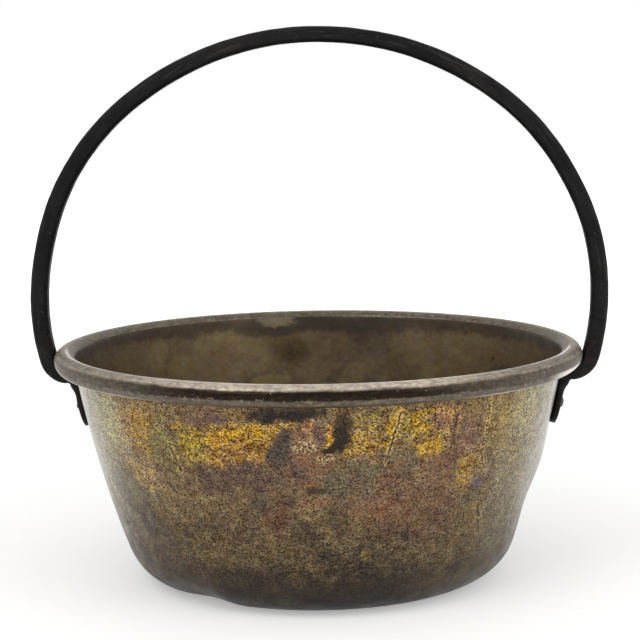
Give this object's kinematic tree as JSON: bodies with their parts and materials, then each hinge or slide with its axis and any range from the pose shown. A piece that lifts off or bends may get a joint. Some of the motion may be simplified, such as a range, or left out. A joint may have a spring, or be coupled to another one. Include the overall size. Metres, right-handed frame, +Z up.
{
  "type": "preserving pan with fixed handle",
  "caption": "Open round preserving pan of sheet brass with flaring wall, rim rolled over a wire, and a fixed arched iron handle riveted to the wall.",
  "frame": {"origin": "on the pan's axis, in the plane of its flat base", "axes": "+Z up along the pan's axis, X in the plane of the handle's arch, Y across it"},
  "size_m": [0.363, 0.3298, 0.343],
  "materials": {
    "pan": "old sheet brass, tarnished and mottled",
    "rim_wire": "plain iron wire, inside the rolled rim",
    "handle": "forged iron, blackened and semi-matt",
    "rivets": "iron rivet, darkened"
  },
  "bodies": {
    "root": {"pan": "pan", "rim_wire": "rim_wire", "handle": "handle", "rivet_left": "rivets", "rivet_right": "rivets"}
  },
  "joints": []
}
